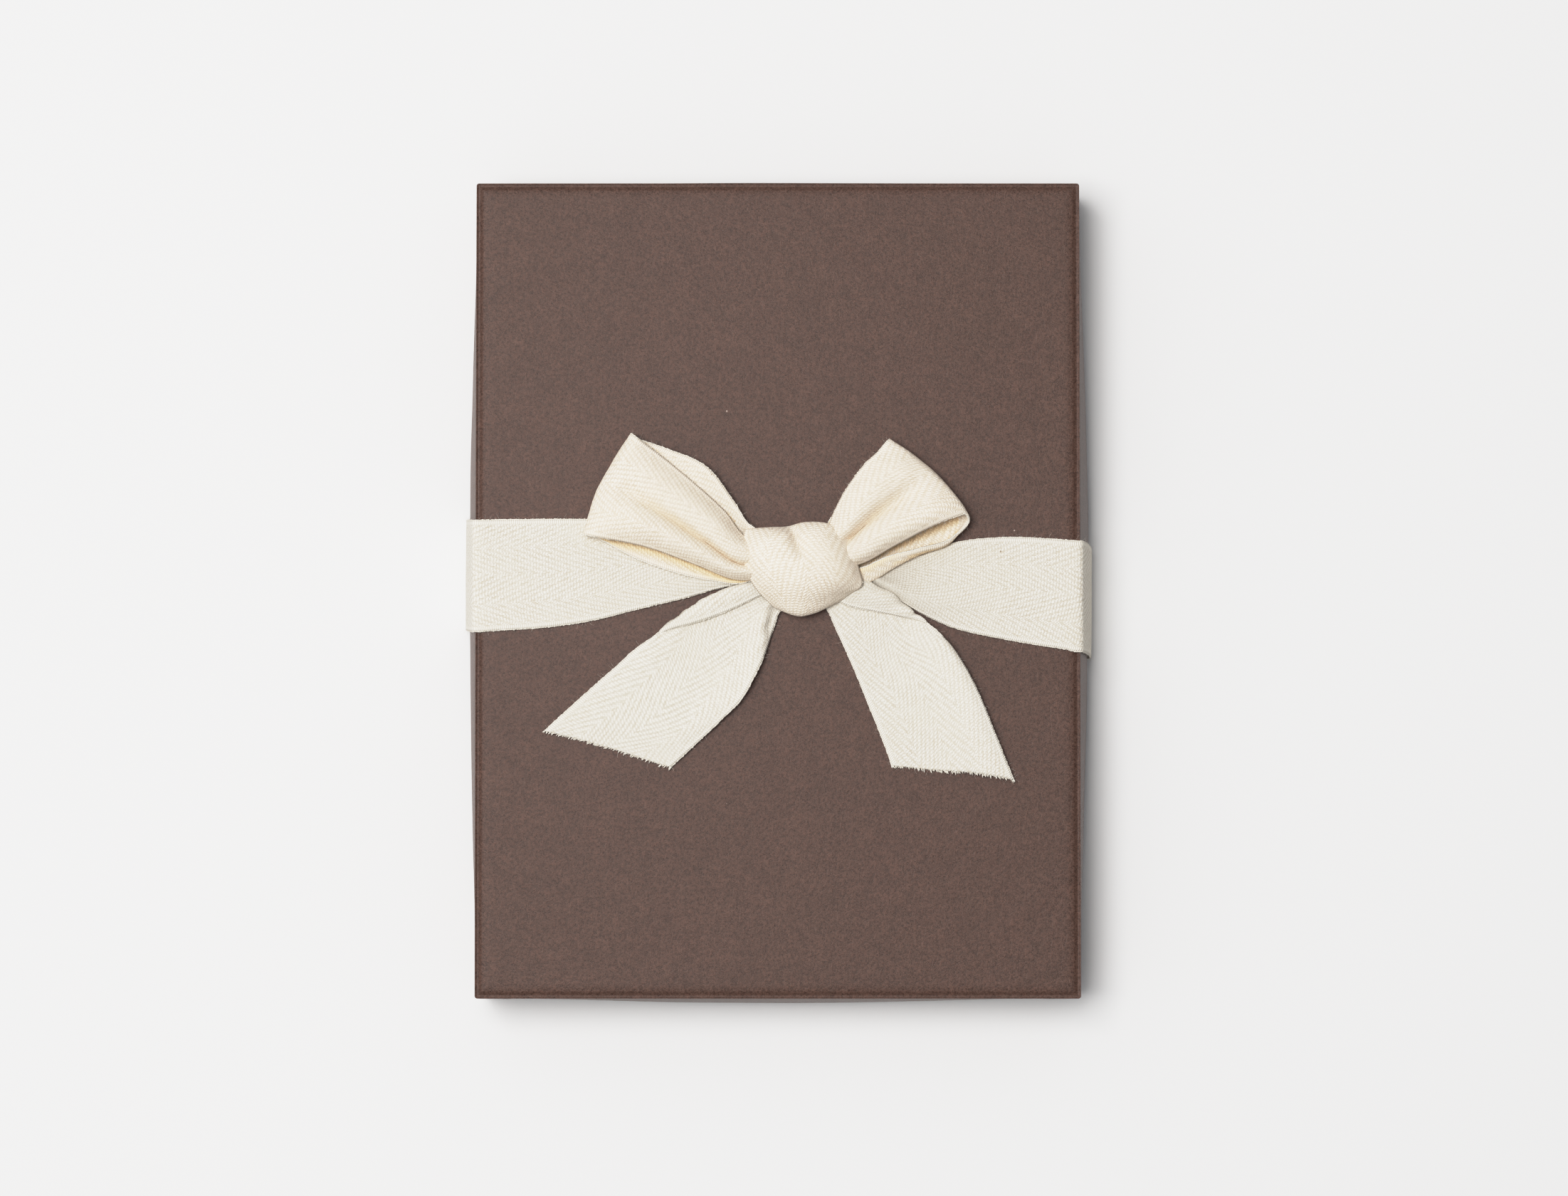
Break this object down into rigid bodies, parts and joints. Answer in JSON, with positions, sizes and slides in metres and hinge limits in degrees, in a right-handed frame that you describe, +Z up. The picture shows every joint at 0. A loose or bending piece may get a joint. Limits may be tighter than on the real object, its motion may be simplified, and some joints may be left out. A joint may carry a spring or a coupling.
{
  "type": "gift box",
  "caption": "Shallow rigid paper-covered box with a lift-off lid, tied across its width with cotton tape and a flat bow.",
  "frame": {"origin": "on the floor under the middle of the box, which is the bottom centre of its bounding box", "axes": "+Z up, +Y along the box's long side, +X across it, along the tape"},
  "size_m": [0.1445, 0.1896, 0.0345],
  "materials": {
    "wrap_paper": "matte dark taupe-brown fibre paper",
    "greyboard": "raw recycled greyboard",
    "lining_paper": "plain matte cream lining paper",
    "stay_paper": "gummed kraft paper",
    "cotton_tape": "unbleached cotton herringbone twill tape"
  },
  "bodies": {
    "tray": {"base_board": "greyboard", "base_corner_stay_front_left": "stay_paper", "base_corner_stay_front_right": "stay_paper", "base_corner_stay_rear_left": "stay_paper", "base_corner_stay_rear_right": "stay_paper", "base_wrap": "wrap_paper", "base_lining": "lining_paper"},
    "lid": {"lid_board": "greyboard", "lid_corner_stay_front_left": "stay_paper", "lid_corner_stay_front_right": "stay_paper", "lid_corner_stay_rear_left": "stay_paper", "lid_corner_stay_rear_right": "stay_paper", "lid_wrap": "wrap_paper", "lid_lining": "lining_paper", "tape_band_left": "cotton_tape", "tape_band_right": "cotton_tape", "bow_knot": "cotton_tape", "bow_loop_left": "cotton_tape", "bow_loop_right": "cotton_tape", "bow_tail_left": "cotton_tape", "bow_tail_right": "cotton_tape"}
  },
  "joints": [
    {"name": "lid_lift", "type": "slide", "parent": "tray", "child": "lid", "axis": [0, 0, 1], "range_m": [0, 0.045]}
  ]
}
